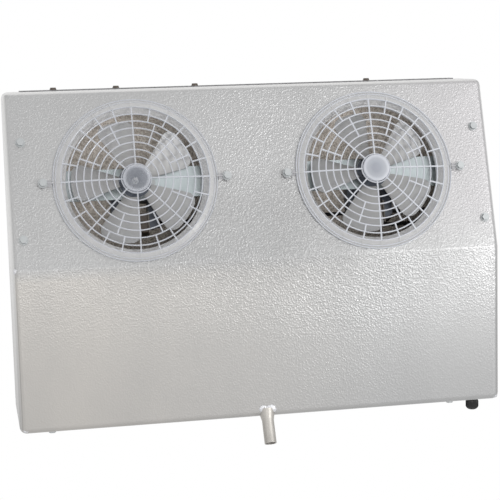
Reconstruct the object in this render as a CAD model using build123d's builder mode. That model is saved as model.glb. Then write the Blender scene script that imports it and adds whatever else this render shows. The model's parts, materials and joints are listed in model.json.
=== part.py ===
"""Thin two-fan unit cooler: a folded aluminium pan over a back plate, a fin coil and two axial fans."""

from build123d import *
from math import cos, radians, sin, sqrt
import os

os.makedirs("parts", exist_ok=True)

# -------------------------------- driving dimensions, millimetres
# case
case_width = 635.0
case_depth = 130.0  # mounting plane to the flat lower face
lower_height = 207.0  # flat lower face, bottom fold to bend
slope_angle = 17.2  # how far the fan face leans back
sheet = 1.2
fold_radius = 8.0  # outside radius of the front folds
corner_radius = 9.0  # outside radius of the four corners
bend_radius = 9.0  # outside radius of the bend between the two faces
lip_depth = 28.0  # bottom lip, measured back from the lower face
seat_gap = 0.1  # between sheets that lie on each other
slip_gap = 0.3  # between the pan and what slides into it
hole_gap = 0.2  # round the shank of a screw
thread_gap = 0.05  # where a screw bites

# mounting
mount_inset = 17.5  # hanger holes, from the sides of the case
mount_spacing_z = 300.0
mount_hole_radius = 4.5
turned_edge = 16.0  # turned side and bottom edges of the back plate
top_edge_inset = 23.5  # ends of the turned top edge, from the sides of the case
top_edge_depth = 18.0

# fans, measured in the fan face
orifice_radius = 88.0
tip_gap = 7.0  # between the blades and the orifice
bend_margin = 4.4  # guard to bend
fold_margin = 13.0  # guard to top fold
collar_depth = 11.0
collar_flare = 7.0

# guards
guard_flange = 17.3  # outside of the guard beyond the orifice
base_ring_width = 4.0
base_ring_height = 3.0
skirt_wall = 2.6
rim_overlap = 6.5  # outermost ring of the grille, beyond the orifice
ring_pitch = 9.45
ring_count = 9
ring_width = 1.7
ring_sides = 24  # each ring runs in chords from rib to rib
grille_thickness = 3.0
dome_top = 11.5
dome_rim = 5.0
hub_radius = 17.5
nipple_radius = 4.0
nipple_height = 3.0
rib_width = 1.8
main_ribs = 8
mid_rib_rings = (4, 7)  # the mid ribs run between these rings, counted from the hub
outer_rib_ring = 7  # the outer ribs run from this ring to the rim
outer_ribs = 24
ear_offset = 11.8  # ear screws, from the outside of the guard
ear_radius = 6.2

# screws
hex_across = 8.0
hex_height = 4.6
washer_radius = 6.0
washer_height = 1.1
shank_radius = 2.1
shank_length = 12.0
upper_screw = (19.0, 163.5)  # side screws: from the side of the case, and above the bend
lower_screw = (16.0, 39.3)
top_screw_places = (-250.0, -168.0, -63.0, 173.0)
pan_head_radius = 4.6
pan_head_height = 3.0

# fan wheels
blade_count = 5
blade_sheet = 1.2
blade_plane = -10.0  # middle of the blades, from the fan face
blade_root_inset = 6.0  # roots of the blades, inside the edge of the hub
blade_tip_trim = 5.0  # the blades are formed this far past their tips and then trimmed
blade_stations = (  # share of the way from root to tip, chord, pitch
    (0.0, 22.0, 34.0),
    (0.37, 50.0, 27.0),
    (0.7, 66.0, 22.0),
    (1.0, 74.0, 19.0),
)
blade_spread = 42.0  # between a blade's edges, seen from the front
blade_corner = 12.0
first_blade = {"left": 107.0, "right": 110.0}
wheel_hub_radius = 21.0
wheel_hub_sheet = 2.0
boss_radius = 7.0
boss_height = 10.0
shaft_radius = 2.5
running_gap = 0.05
shaft_front = 4.0
shaft_rear = -64.0
nut_across = 8.0
nut_height = 4.0

# motors
strap_height = 40.0
strap_sheet = 1.5
strap_depth = 22.0  # front of the strap, behind the fan face
strap_clearance = 3.5  # between the strap's legs and the collar
strap_foot_margin = 6.9  # ends of the strap's feet, beyond the ear screws
strap_gap = 6.4  # between a strap's foot and the plenum end
strap_hole_radius = 6.0
stack_half_width = 30.0
stack_top = 23.0
stack_bottom = -56.0
stack_front = -34.0
stack_thickness = 18.0
stack_corner = 7.0
stator_bore = 16.0
air_gap = 0.5
rotor_side_gap = 0.5
window_half_width = 17.0
window_top = -21.0
limb_height = 11.0  # limb of the stack that carries the winding
bobbin_wall = 1.6
bobbin_gap = 0.2
winding_build = 7.0
bracket_rise = 5.0
bracket_sheet = 2.0
bracket_height = 16.0
bracket_top_half = 14.0
bracket_foot_start = 18.0
bearing_radius = 7.0
bearing_height = 3.0
motor_bolt_half = 24.0
motor_bolt_radius = 2.0
motor_bolt_head_radius = 3.6
motor_bolt_head_height = 2.4
spacer_radius = 4.0

# coil
tube_radius = 4.76
tubes_high = 3
tube_rows = 4
tube_pitch = 33.0
row_pitch = 25.4
coil_left_inset = 49.5  # left tube sheet, from the side of the case
coil_right_inset = 71.5
coil_back = 8.0  # rear edges of the fins, from the mounting plane
coil_foot = 20.0  # lower edges of the fins, above the bottom fold
fin_sheet = 0.4
fin_pitch = 6.35
return_radius = 12.0  # middle of the tube, in its return bends
return_straight = 1.5  # between a tube sheet and a return bend
tube_stub = 8.0  # open ends of the coil tube, from the tube sheet
tube_sheet_edge = 14.0
foot_front = 8.0  # front of the tube sheets' feet, from the lower face
foot_depth = 18.0
foot_rise = 30.0
foot_screw_inset = 5.0  # lip screws, from the rear edges of the feet
baffle_drop = 18.0

# refrigerant lines
line_inset = 24.5  # from the side of the case
line_bend = 14.0
suction_radius = 6.35
suction_drop = 20.0  # below the bottom fold
liquid_drop = 8.0
cap_wall = 1.3
cap_cover = 16.0
cap_round = 2.5

# plenum ends
plenum_inset = 30.5  # web, from the side of the case
plenum_low = 16.0  # along the fan face, above the bend
plenum_drop = 24.0  # along the fan face, below the top fold
plenum_front_edge = 22.0
plenum_rear_edge = 14.0

# drain
drain_radius = 7.8
drain_bore = 6.6
drain_inset = 5.0  # heart of the drain hole, from the front and from the bottom
drain_tilt = 28.0  # forward from straight down
drain_length = 36.5  # outside the fold
drain_inside = 9.0  # behind the middle of the fold
drain_root_radius = 11.0
drain_root_height = 6.0
drain_root_sunk = 3.0

# wiring
terminal_width = 18.0
terminal_depth = 14.0
terminal_height = 46.0
wiring_inset = 15.5  # terminal block and grommet, from the side of the case
terminal_rise = 35.4  # above the bend
terminal_posts = 3
post_radius = 2.6
post_height = 2.0
grommet_radius = 8.0
grommet_flange = 2.5
grommet_bore = 5.0
grommet_half_length = 3.0
grommet_rise = 100.4  # above the bend
lead_width = 5.0
lead_thickness = 2.5
lead_bend = 10.0
lead_off_plate = 3.0  # middle of a lead, in front of the back plate
lead_rises = {"left": 38.0, "right": 20.0}  # heights where the leads run

# -------------------------------- places worked out from them
lean = radians(slope_angle)
half_width = case_width / 2
guard_radius = orifice_radius + guard_flange
rim_radius = orifice_radius + rim_overlap
blade_radius = orifice_radius - tip_gap
ear_reach = guard_radius + ear_offset
fan_rise = bend_margin + guard_radius  # fan axis above the bend
slope_length = fan_rise + guard_radius + fold_margin  # leaning fan face, bend to top fold
case_height = lower_height + slope_length * cos(lean)
bottom_z = -case_height / 2  # the origin is the middle of the hanger holes
bend_z = bottom_z + lower_height
top_z = bottom_z + case_height
front_y = -case_depth
top_y = front_y + slope_length * sin(lean)
plate_front = -sheet
seat_y = plate_front - seat_gap  # what stands on the back plate starts here
sides = {"left": -1, "right": 1}

mount_spacing_x = case_width - 2 * mount_inset
top_edge_half = half_width - top_edge_inset
plenum_half = half_width - plenum_inset
plenum_high = slope_length - plenum_drop
strap_leg = orifice_radius + collar_flare + strap_clearance + strap_sheet
strap_foot = ear_reach + strap_foot_margin
fan_x = plenum_half - strap_gap - strap_foot

fan_face = Plane(origin=(0, front_y, bend_z), x_dir=(1, 0, 0), z_dir=(0, -cos(lean), sin(lean)))
face_seat = -sheet - seat_gap  # what lies behind the fan face starts here

fin_rear = -coil_back
fin_front = fin_rear - tubes_high * tube_pitch
fin_low = bottom_z + coil_foot
fin_high = fin_low + tube_rows * row_pitch
tube_ys = [fin_front + tube_pitch * (i + 0.5) for i in range(tubes_high)]
tube_zs = [fin_low + row_pitch * (j + 0.5) for j in range(tube_rows)]
tube_order = []
for i in range(tubes_high):
    rows = tube_zs if i % 2 == 0 else tube_zs[::-1]
    tube_order += [(tube_ys[i], z) for z in rows]
coil_left = coil_left_inset - half_width
coil_right = half_width - coil_right_inset
coil_length = coil_right - coil_left
tube_sheet_faces = {"left": coil_left, "right": coil_right}

line_x = half_width - line_inset
terminal_place = (half_width - wiring_inset, bend_z + terminal_rise)  # middle, seen from the front
grommet_place = (half_width - wiring_inset, bend_z + grommet_rise)

drain_heart = (0, front_y + drain_inset, bottom_z + drain_inset)
drain_way = (0, -sin(radians(drain_tilt)), -cos(radians(drain_tilt)))
drain_place = Plane(origin=drain_heart, x_dir=(1, 0, 0), z_dir=drain_way)


def fan_place(sign, height=0.0):
    """Plane square to a fan's axis, with its origin on the axis at this height before the fan face."""
    middle = fan_face.from_local_coords((sign * fan_x, fan_rise, height))
    return Plane(origin=middle, x_dir=(1, 0, 0), z_dir=fan_face.z_dir)


def section_place(sign):
    """Plane through a fan's axis: its X is the radius and its Y runs forward along the axis."""
    place = fan_place(sign)
    return Plane(origin=place.origin, x_dir=place.x_dir, z_dir=-place.y_dir)


def side_place(sign):
    """Plane through a fan's axis: its X runs up the fan face and its Y forward along the axis."""
    place = fan_place(sign)
    return Plane(origin=place.origin, x_dir=place.y_dir, z_dir=place.x_dir)


def fan_axis(sign):
    """Line on which a fan turns."""
    place = fan_place(sign)
    return Axis(place.origin, place.z_dir)


def face_place(x, rise, height=0.0):
    """Plane on the fan face, or this far before it."""
    return Plane(
        origin=fan_face.from_local_coords((x, rise, height)), x_dir=(1, 0, 0), z_dir=fan_face.z_dir
    )


def dome_height(radius):
    """Top of a guard's grille at this radius: a shallow round dome."""
    rise = dome_top - dome_rim
    dome_radius = (rim_radius**2 + rise**2) / (2 * rise)
    return dome_top - dome_radius + sqrt(dome_radius**2 - radius**2)


def outline_edges(faces):
    """Edges that belong to only one of these faces."""
    edges = [edge for face in faces for edge in face.edges()]
    return [edge for edge in edges if sum(edge.is_same(other) for other in edges) == 1]


def add_disc(place, radius, amount, mode=Mode.ADD):
    """Round bar from a plane, forward or, with a negative amount, backward."""
    with BuildSketch(place) as disc:
        Circle(radius)
    extrude(disc.sketch, amount=amount, mode=mode)


def add_hex_screws(places, length):
    """Hexagon washer-head screws, each seated on its plane with the shank behind it."""
    for place in places:
        add_disc(place, washer_radius, washer_height)
        with BuildSketch(place.offset(washer_height)) as head:
            RegularPolygon(hex_across / sqrt(3), 6)
        extrude(head.sketch, amount=hex_height - washer_height)
        add_disc(place, shank_radius, -length)


def drill(places, radius, depth):
    """Round holes from just before each plane to this depth behind it."""
    for place in places:
        add_disc(place.offset(seat_gap), radius, -depth - seat_gap, Mode.SUBTRACT)


def finish(piece, name):
    """Name the piece and write it."""
    piece.part.label = name
    export_step(piece.part, f"parts/{name}.step")


side_screws = [
    face_place(s * (half_width - inset), rise)
    for s in sides.values()
    for inset, rise in (upper_screw, lower_screw)
]
ear_screws = [
    face_place(s * fan_x + e * ear_reach, fan_rise) for s in sides.values() for e in (-1, 1)
]
lip_screw_xs = [
    face + sides[side] * (sheet + tube_sheet_edge / 2) for side, face in tube_sheet_faces.items()
]
lip_screw_y = front_y + foot_front + foot_depth - foot_screw_inset
lip_screws = [Plane(origin=(x, lip_screw_y, bottom_z), z_dir=(0, 0, -1)) for x in lip_screw_xs]
top_seat_z = top_z + seat_gap + sheet
top_screws = [Plane(origin=(x, -top_edge_depth / 2, top_seat_z)) for x in top_screw_places]

# -------------------------------- outer form of the case, not hollowed
with BuildPart() as case_form:
    with BuildSketch(Plane.YZ):
        Polygon(
            (0, bottom_z), (front_y, bottom_z), (front_y, bend_z), (top_y, top_z), (0, top_z), align=None
        )
    extrude(amount=half_width, both=True)
    fillet(case_form.edges().filter_by(Axis.Y), corner_radius)
    bend = case_form.edges().filter_by(Axis.X).filter_by_position(Axis.Z, bend_z - 1, bend_z + 1)
    fillet(bend, bend_radius)
    fronts = [face for face in case_form.faces() if face.normal_at(face.center()).Y < -0.5]
    fillet(outline_edges(fronts), fold_radius)

# -------------------------------- front pan, folded from one sheet
with BuildPart() as front_pan:
    add(case_form.part)
    offset(amount=-sheet, openings=front_pan.faces().sort_by(Axis.Y)[-1])
    # the bottom stays open behind the lip, for the air from the coil
    with BuildSketch(Plane.XY.offset(bottom_z - 1)):
        with Locations((0, front_y + lip_depth)):
            Rectangle(case_width + 2, case_depth, align=(Align.CENTER, Align.MIN))
    extrude(amount=corner_radius + 1, mode=Mode.SUBTRACT)
    # the top wall stops short of the back plate, which turns over it
    with BuildSketch(Plane.XY.offset(top_z - corner_radius)):
        with Locations((0, seat_y)):
            Rectangle(2 * (top_edge_half + slip_gap), case_depth, align=(Align.CENTER, Align.MIN))
    extrude(amount=corner_radius + 1, mode=Mode.SUBTRACT)
    for sign in sides.values():
        drill([fan_place(sign)], orifice_radius + collar_flare, 2 * sheet)
        with BuildSketch(section_place(sign)):
            Polygon(
                (orifice_radius + collar_flare, 0),
                (orifice_radius, -collar_flare),
                (orifice_radius, -collar_depth),
                (orifice_radius + sheet, -collar_depth),
                (orifice_radius + sheet, -collar_flare),
                (orifice_radius + collar_flare, -sheet),
                align=None,
            )
        revolve(axis=fan_axis(sign))
    drill(side_screws + ear_screws, shank_radius + hole_gap, 2 * sheet)
    drill(lip_screws, shank_radius + hole_gap, 2 * sheet)
    drill(top_screws, shank_radius + thread_gap, 4 * sheet)
    drill([drain_place.offset(2 * drain_inset)], drain_radius + seat_gap, 2 * (drain_inset + drain_inside))
finish(front_pan, "front_pan")

# -------------------------------- back plate: the mounting plate, with turned edges
plate_half = half_width - sheet - slip_gap
plate_low = bottom_z + sheet + slip_gap
plate_high = top_z - sheet - slip_gap
plate_corner = corner_radius - sheet
with BuildPart() as back_plate:
    with BuildSketch(Plane.XZ) as plate_outline:
        with Locations((0, plate_low)):
            Rectangle(2 * plate_half, plate_high - plate_low, align=(Align.CENTER, Align.MIN))
        fillet(plate_outline.vertices().group_by(Axis.Y)[-1], plate_corner)
        with Locations((0, top_seat_z)):
            Rectangle(2 * top_edge_half, top_seat_z - plate_high + sheet, align=(Align.CENTER, Align.MAX))
    extrude(amount=sheet)
    with BuildSketch(Plane.XY.offset(top_seat_z)):
        Rectangle(2 * top_edge_half, top_edge_depth, align=(Align.CENTER, Align.MAX))
    extrude(amount=-sheet)
    with BuildSketch(Plane.XY.offset(plate_low)):
        Rectangle(2 * plate_half, turned_edge, align=(Align.CENTER, Align.MAX))
    extrude(amount=sheet)
    with BuildSketch(Plane.XY.offset(plate_low)):
        for sign in sides.values():
            with Locations((sign * (plate_half - sheet / 2), 0)):
                Rectangle(sheet, turned_edge, align=(Align.CENTER, Align.MAX))
    extrude(amount=plate_high - plate_low - plate_corner)
    with BuildSketch(Plane.XZ):
        with GridLocations(mount_spacing_x, mount_spacing_z, 2, 2):
            Circle(mount_hole_radius)
        with Locations(grommet_place):
            Circle(grommet_radius)
    extrude(amount=2 * sheet, both=True, mode=Mode.SUBTRACT)
    drill(top_screws, shank_radius + hole_gap, 2 * sheet)
finish(back_plate, "back_plate")

# -------------------------------- plenum ends, which carry the fan face
lead_zs = {side: bend_z + rise for side, rise in lead_rises.items()}
lead_hole_radius = lead_width / 2 + 2 * hole_gap
for side, sign in sides.items():
    low = fan_face.from_local_coords((0, plenum_low, face_seat))
    high = fan_face.from_local_coords((0, plenum_high, face_seat))
    edge_height = plenum_high - plenum_low
    with BuildPart() as plenum_end:
        with BuildSketch(Plane.YZ.offset(sign * plenum_half)):
            Polygon((low.Y, low.Z), (high.Y, high.Z), (seat_y, high.Z), (seat_y, low.Z), align=None)
        extrude(amount=sign * sheet)
        with BuildSketch(face_place(sign * plenum_half, plenum_low, face_seat)):
            Rectangle(
                plenum_front_edge,
                edge_height,
                align=(Align.MIN if sign > 0 else Align.MAX, Align.MIN),
            )
        extrude(amount=-sheet)
        foot_start = (sign * (plenum_half + sheet), seat_y, low.Z)
        foot_place = Plane(origin=foot_start, x_dir=(1, 0, 0), z_dir=(0, -1, 0))
        with BuildSketch(foot_place):
            Rectangle(
                plenum_rear_edge,
                high.Z - low.Z,
                align=(Align.MAX if sign > 0 else Align.MIN, Align.MIN),
            )
        extrude(amount=sheet)
        drill([place.offset(face_seat) for place in side_screws], shank_radius + thread_gap, 4 * sheet)
        if side == "right":
            for z in lead_zs.values():
                with BuildSketch(Plane.YZ.offset(plenum_half - sheet)):
                    with Locations((seat_y - lead_off_plate, z)):
                        Circle(lead_hole_radius)
                extrude(amount=3 * sheet, mode=Mode.SUBTRACT)
    finish(plenum_end, f"plenum_end_{side}")

# -------------------------------- fan guards: domed grilles of rings and ribs over a skirt
# Drawn about +Z with the seat on the XY plane. Rings and dome run in flat chords from rib to rib.
ring_radii = [rim_radius - ring_pitch * i for i in range(ring_count)][::-1]
dome_stations = (rim_radius + ring_width / 2, ring_radii[5], ring_radii[1])
skirt_foot = guard_radius - base_ring_width + skirt_wall


def add_ribs(inner, outer, count, turn):
    """Straight ribs between two radii, evenly round the hub."""
    with PolarLocations((inner + outer) / 2, count, start_angle=turn):
        Rectangle(outer - inner, rib_width)


def add_dome(drop):
    """Everything under the dome, lowered by this much."""
    sections = []
    for radius in dome_stations:
        with BuildSketch(Plane.XY.offset(dome_height(radius) - drop)) as section:
            RegularPolygon(radius, ring_sides)
        sections.append(section.sketch)
    loft(sections, ruled=True)
    extrude(sections[0], amount=-dome_top)


with BuildPart() as dome_outer:
    add_dome(0)
with BuildPart() as dome_inner:
    add_dome(grille_thickness)
with BuildPart() as skirt_form:
    for drop, mode in ((0, Mode.ADD), (skirt_wall, Mode.SUBTRACT)):
        with BuildSketch(Plane.XY.offset(seat_gap)):
            RegularPolygon(skirt_foot - drop, ring_sides)
        with BuildSketch(Plane.XY.offset(dome_rim)):
            RegularPolygon(rim_radius + ring_width / 2 - drop, ring_sides)
        loft(ruled=True, mode=mode)
with BuildPart() as guard_form:
    with BuildSketch():
        for radius in ring_radii:
            with BuildSketch(mode=Mode.PRIVATE) as ring:
                RegularPolygon(radius + ring_width / 2, ring_sides)
                RegularPolygon(radius - ring_width / 2, ring_sides, mode=Mode.SUBTRACT)
            add(ring.sketch)
        RegularPolygon(hub_radius, ring_sides)
        add_ribs(hub_radius - rib_width, rim_radius, main_ribs, 0)
        mid_inner, mid_outer = (ring_radii[ring - 1] for ring in mid_rib_rings)
        add_ribs(mid_inner, mid_outer, main_ribs, 180 / main_ribs)
        add_ribs(ring_radii[outer_rib_ring - 1], rim_radius, outer_ribs, 0)
    extrude(amount=dome_top)
    add(dome_outer.part, mode=Mode.INTERSECT)
    add(dome_inner.part, mode=Mode.SUBTRACT)
    add(skirt_form.part)
    with BuildSketch(Plane.XY.offset(seat_gap)):
        Circle(guard_radius)
        for way in (-1, 1):
            with Locations((way * ear_reach, 0)):
                Circle(ear_radius)
            with Locations((way * (guard_radius + ear_reach) / 2, 0)):
                Rectangle(ear_reach - guard_radius + base_ring_width, 1.5 * ear_radius)
            with Locations((way * ear_reach, 0)):
                Circle(shank_radius + hole_gap, mode=Mode.SUBTRACT)
        Circle(guard_radius - base_ring_width, mode=Mode.SUBTRACT)
    extrude(amount=base_ring_height)
    with BuildSketch(Plane.XY.offset(dome_top - grille_thickness)):
        Circle(nipple_radius)
    extrude(amount=grille_thickness + nipple_height)
for side, sign in sides.items():
    with BuildPart() as fan_guard:
        with Locations(fan_place(sign)):
            add(guard_form.part)
    finish(fan_guard, f"fan_guard_{side}")

# -------------------------------- screws of the case
ear_seat = seat_gap + base_ring_height
with BuildPart() as guard_screws:
    add_hex_screws([place.offset(ear_seat) for place in ear_screws], shank_length)
finish(guard_screws, "guard_screws")
with BuildPart() as side_panel_screws:
    add_hex_screws(side_screws, shank_length)
finish(side_panel_screws, "side_panel_screws")
with BuildPart() as drain_lip_screws:
    add_hex_screws(lip_screws, shank_length)
finish(drain_lip_screws, "drain_lip_screws")
with BuildPart() as top_edge_screws:
    for place in top_screws:
        with BuildSketch(place):
            Circle(pan_head_radius)
        extrude(amount=pan_head_height, taper=20)
        with BuildSketch(place):
            Circle(shank_radius)
        extrude(amount=-shank_length)
finish(top_edge_screws, "top_edge_screws")

# -------------------------------- drain tube, with its weld root shaped to the fold
with BuildPart() as drain_tube:
    root_height = drain_root_sunk + drain_inset + drain_root_height
    with Locations(drain_place.offset(-drain_root_sunk).location):
        Cone(drain_root_radius, drain_radius, root_height, align=(Align.CENTER, Align.CENTER, Align.MIN))
    add(case_form.part, mode=Mode.SUBTRACT)
    with BuildSketch(drain_place.offset(-drain_inside)):
        Circle(drain_radius)
    extrude(amount=drain_inside + drain_inset + drain_length)
    with BuildSketch(drain_place.offset(-drain_inside)):
        Circle(drain_bore)
    extrude(amount=drain_inside + drain_inset + drain_length, mode=Mode.SUBTRACT)
finish(drain_tube, "drain_tube")

# -------------------------------- fan wheels, drawn about +Z
with BuildSketch() as blade_outline:
    with BuildLine():
        tip_edge = CenterArc((0, 0), blade_radius, -blade_spread / 2, blade_spread)
        Polyline(tip_edge @ 1, (0, 0), tip_edge @ 0)
    make_face()
    fillet(blade_outline.vertices().group_by(Axis.X)[-1], blade_corner)
blade_root = wheel_hub_radius - blade_root_inset
blade_length = blade_radius + blade_tip_trim - blade_root
with BuildPart() as wheel_form:
    for k in range(blade_count):
        arm = Plane.XY.rotated((0, 0, 360 / blade_count * k))
        for share, chord, pitch in blade_stations:
            start = arm.from_local_coords((blade_root + share * blade_length, 0, blade_plane))
            with BuildSketch(Plane(origin=start, x_dir=arm.y_dir, z_dir=arm.x_dir)):
                Rectangle(chord, blade_sheet, rotation=pitch)
        loft()
    with BuildSketch(Plane.XY.offset(-strap_depth)):
        with PolarLocations(0, blade_count):
            add(blade_outline.sketch)
    extrude(amount=2 * strap_depth, mode=Mode.INTERSECT)
    with BuildSketch(Plane.XY.offset(blade_plane - wheel_hub_sheet / 2)):
        Circle(wheel_hub_radius)
    extrude(amount=wheel_hub_sheet)
    with BuildSketch(Plane.XY.offset(blade_plane - boss_height)):
        Circle(boss_radius)
    extrude(amount=boss_height)
    with BuildSketch(Plane.XY.offset(-strap_depth)):
        Circle(shaft_radius)
    extrude(amount=2 * strap_depth, mode=Mode.SUBTRACT)
nut_seat = blade_plane + wheel_hub_sheet / 2
with BuildPart() as nut_form:
    with BuildSketch(Plane.XY.offset(nut_seat)):
        RegularPolygon(nut_across / sqrt(3), 6)
        Circle(shaft_radius, mode=Mode.SUBTRACT)
    extrude(amount=nut_height)
for side, sign in sides.items():
    with BuildPart() as fan_wheel:
        with Locations(fan_place(sign)):
            add(wheel_form.part, rotation=(0, 0, first_blade[side]))
    finish(fan_wheel, f"fan_wheel_{side}")
    with BuildPart() as fan_nut:
        with Locations(fan_place(sign)):
            add(nut_form.part, rotation=(0, 0, first_blade[side]))
    finish(fan_nut, f"fan_nut_{side}")

# -------------------------------- motors: straps, stacks, windings, bearings and rotors
stack_rear = stack_front - stack_thickness
bracket_front_foot = stack_front + bracket_sheet
strap_rear = -strap_depth - strap_sheet
bolt_end = stack_rear - bracket_sheet - motor_bolt_head_height


def bolt_places(sign, height):
    """The two long motor bolts, at this height on the fan's axis."""
    place = fan_place(sign, height)
    return [
        Plane(origin=place.from_local_coords((e * motor_bolt_half, 0, 0)), x_dir=(1, 0, 0), z_dir=place.z_dir)
        for e in (-1, 1)
    ]


def add_bearing_bracket(sign, base, way):
    """Pressed bearing bracket: feet on the stack, a raised bridge and a bearing boss."""
    rise, thick = bracket_rise * way, bracket_sheet * way
    with BuildSketch(section_place(sign)) as bridge:
        Polygon(
            (0, base + rise),
            (bracket_top_half, base + rise),
            (bracket_foot_start, base),
            (stack_half_width, base),
            (stack_half_width, base + thick),
            (bracket_foot_start + 1, base + thick),
            (bracket_top_half + 1, base + rise + thick),
            (0, base + rise + thick),
            align=None,
        )
        mirror(about=Plane.YZ)
    extrude(bridge.sketch, amount=bracket_height / 2, both=True)
    boss_end = (bracket_rise + bracket_sheet + bearing_height) * way
    add_disc(fan_place(sign, base + rise), bearing_radius, boss_end - rise)
    add_disc(fan_place(sign, base), shaft_radius + running_gap, boss_end, Mode.SUBTRACT)


for side, sign in sides.items():
    with BuildPart() as motor_strap:
        with BuildSketch(section_place(sign)):
            Polygon(
                (0, -strap_depth),
                (strap_leg - strap_sheet, -strap_depth),
                (strap_leg - strap_sheet, face_seat),
                (strap_foot, face_seat),
                (strap_foot, face_seat - strap_sheet),
                (strap_leg, face_seat - strap_sheet),
                (strap_leg, strap_rear),
                (0, strap_rear),
                align=None,
            )
            mirror(about=Plane.YZ)
        extrude(amount=strap_height / 2, both=True)
        drill([fan_place(sign, -strap_depth)], strap_hole_radius, 2 * strap_sheet)
        drill(bolt_places(sign, -strap_depth), motor_bolt_radius + hole_gap, 2 * strap_sheet)
        drill([place.offset(face_seat) for place in ear_screws], shank_radius + thread_gap, 2 * strap_sheet)
    finish(motor_strap, f"motor_strap_{side}")

    with BuildPart() as stator_stack:
        with BuildSketch(fan_place(sign, stack_front)) as stack_face:
            with Locations((0, stack_bottom)):
                Rectangle(2 * stack_half_width, stack_top - stack_bottom, align=(Align.CENTER, Align.MIN))
            fillet(stack_face.vertices(), stack_corner)
            Circle(stator_bore, mode=Mode.SUBTRACT)
            with Locations((0, window_top)):
                Rectangle(
                    2 * window_half_width,
                    window_top - stack_bottom - limb_height,
                    align=(Align.CENTER, Align.MAX),
                    mode=Mode.SUBTRACT,
                )
        extrude(amount=-stack_thickness)
        drill(bolt_places(sign, stack_front), motor_bolt_radius + hole_gap, 2 * stack_thickness)
    finish(stator_stack, f"stator_stack_{side}")

    limb_middle = (stack_bottom + limb_height / 2, stack_front - stack_thickness / 2)
    sleeve = (limb_height + 2 * (bobbin_gap + bobbin_wall), stack_thickness + 2 * (bobbin_gap + bobbin_wall))
    flange = [size + 2 * winding_build for size in sleeve]
    bobbin_half = window_half_width - bobbin_gap
    with BuildPart() as bobbin:
        with BuildSketch(side_place(sign)):
            with Locations(limb_middle):
                Rectangle(*sleeve)
        extrude(amount=bobbin_half, both=True)
        for way in (-1, 1):
            with BuildSketch(side_place(sign).offset(way * bobbin_half)):
                with Locations(limb_middle):
                    Rectangle(*flange)
            extrude(amount=-way * bobbin_wall)
        with BuildSketch(side_place(sign)):
            with Locations(limb_middle):
                Rectangle(limb_height + 2 * bobbin_gap, stack_thickness + 2 * bobbin_gap)
        extrude(amount=bobbin_half, both=True, mode=Mode.SUBTRACT)
    finish(bobbin, f"bobbin_{side}")
    with BuildPart() as winding:
        with BuildSketch(side_place(sign)) as wound:
            with Locations(limb_middle):
                Rectangle(*[size - 2 * bobbin_wall for size in flange])
            fillet(wound.vertices(), bobbin_wall)
            with Locations(limb_middle):
                Rectangle(*sleeve, mode=Mode.SUBTRACT)
        extrude(amount=bobbin_half - bobbin_wall, both=True)
    finish(winding, f"winding_{side}")

    with BuildPart() as bearing_brackets:
        add_bearing_bracket(sign, stack_front, 1)
        add_bearing_bracket(sign, stack_rear, -1)
        drill(bolt_places(sign, bracket_front_foot), motor_bolt_radius + hole_gap, 2 * stack_thickness)
    finish(bearing_brackets, f"bearing_brackets_{side}")

    with BuildPart() as rotor:
        with BuildSketch(fan_place(sign, stack_front - rotor_side_gap)):
            Circle(stator_bore - air_gap)
            Circle(shaft_radius, mode=Mode.SUBTRACT)
        extrude(amount=-(stack_thickness - 2 * rotor_side_gap))
    finish(rotor, f"rotor_{side}")
    with BuildPart() as motor_shaft:
        with BuildSketch(fan_place(sign, shaft_rear)):
            Circle(shaft_radius)
        extrude(amount=shaft_front - shaft_rear)
    finish(motor_shaft, f"motor_shaft_{side}")

with BuildPart() as motor_bolts:
    for sign in sides.values():
        for place in bolt_places(sign, -strap_depth):
            with BuildSketch(place):
                Circle(motor_bolt_head_radius)
            extrude(amount=motor_bolt_head_height)
            with BuildSketch(place):
                Circle(motor_bolt_radius)
            extrude(amount=bolt_end + strap_depth)
        for place in bolt_places(sign, stack_rear - bracket_sheet):
            with BuildSketch(place):
                RegularPolygon(motor_bolt_head_radius, 6)
            extrude(amount=-motor_bolt_head_height)
finish(motor_bolts, "motor_bolts")
with BuildPart() as motor_spacers:
    for sign in sides.values():
        for place in bolt_places(sign, strap_rear):
            with BuildSketch(place):
                Circle(spacer_radius)
                Circle(motor_bolt_radius + hole_gap, mode=Mode.SUBTRACT)
            extrude(amount=bracket_front_foot - strap_rear)
finish(motor_spacers, "motor_spacers")

# -------------------------------- coil: fins on a serpentine tube between two tube sheets
fin_gaps = int(coil_length / fin_pitch)
first_fin = (coil_left + coil_right - fin_pitch * (fin_gaps - 1) - fin_sheet) / 2
with BuildPart() as coil_fins:
    for k in range(fin_gaps):
        with BuildSketch(Plane.YZ.offset(first_fin + fin_pitch * k)):
            with Locations((fin_front, fin_low)):
                Rectangle(fin_rear - fin_front, fin_high - fin_low, align=(Align.MIN, Align.MIN))
    extrude(amount=fin_sheet)
finish(coil_fins, "coil_fins")

# the tube starts at the right, runs to and fro through every hole and ends at the right
with BuildPart() as coil_tube:
    tube_start = coil_right + sheet + tube_stub
    turn_reach = sheet + return_straight + return_radius
    turn_xs = (coil_left - turn_reach, coil_right + turn_reach)
    route = [(tube_start, *tube_order[0])]
    for k, (here, there) in enumerate(zip(tube_order[:-1], tube_order[1:])):
        route += [(turn_xs[k % 2], *here), (turn_xs[k % 2], *there)]
    route.append((tube_start, *tube_order[-1]))
    with BuildLine():
        FilletPolyline(*route, radius=return_radius)
    with BuildSketch(Plane(origin=route[0], x_dir=(0, 1, 0), z_dir=(-1, 0, 0))):
        Circle(tube_radius)
    sweep()
finish(coil_tube, "coil_tube")

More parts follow.
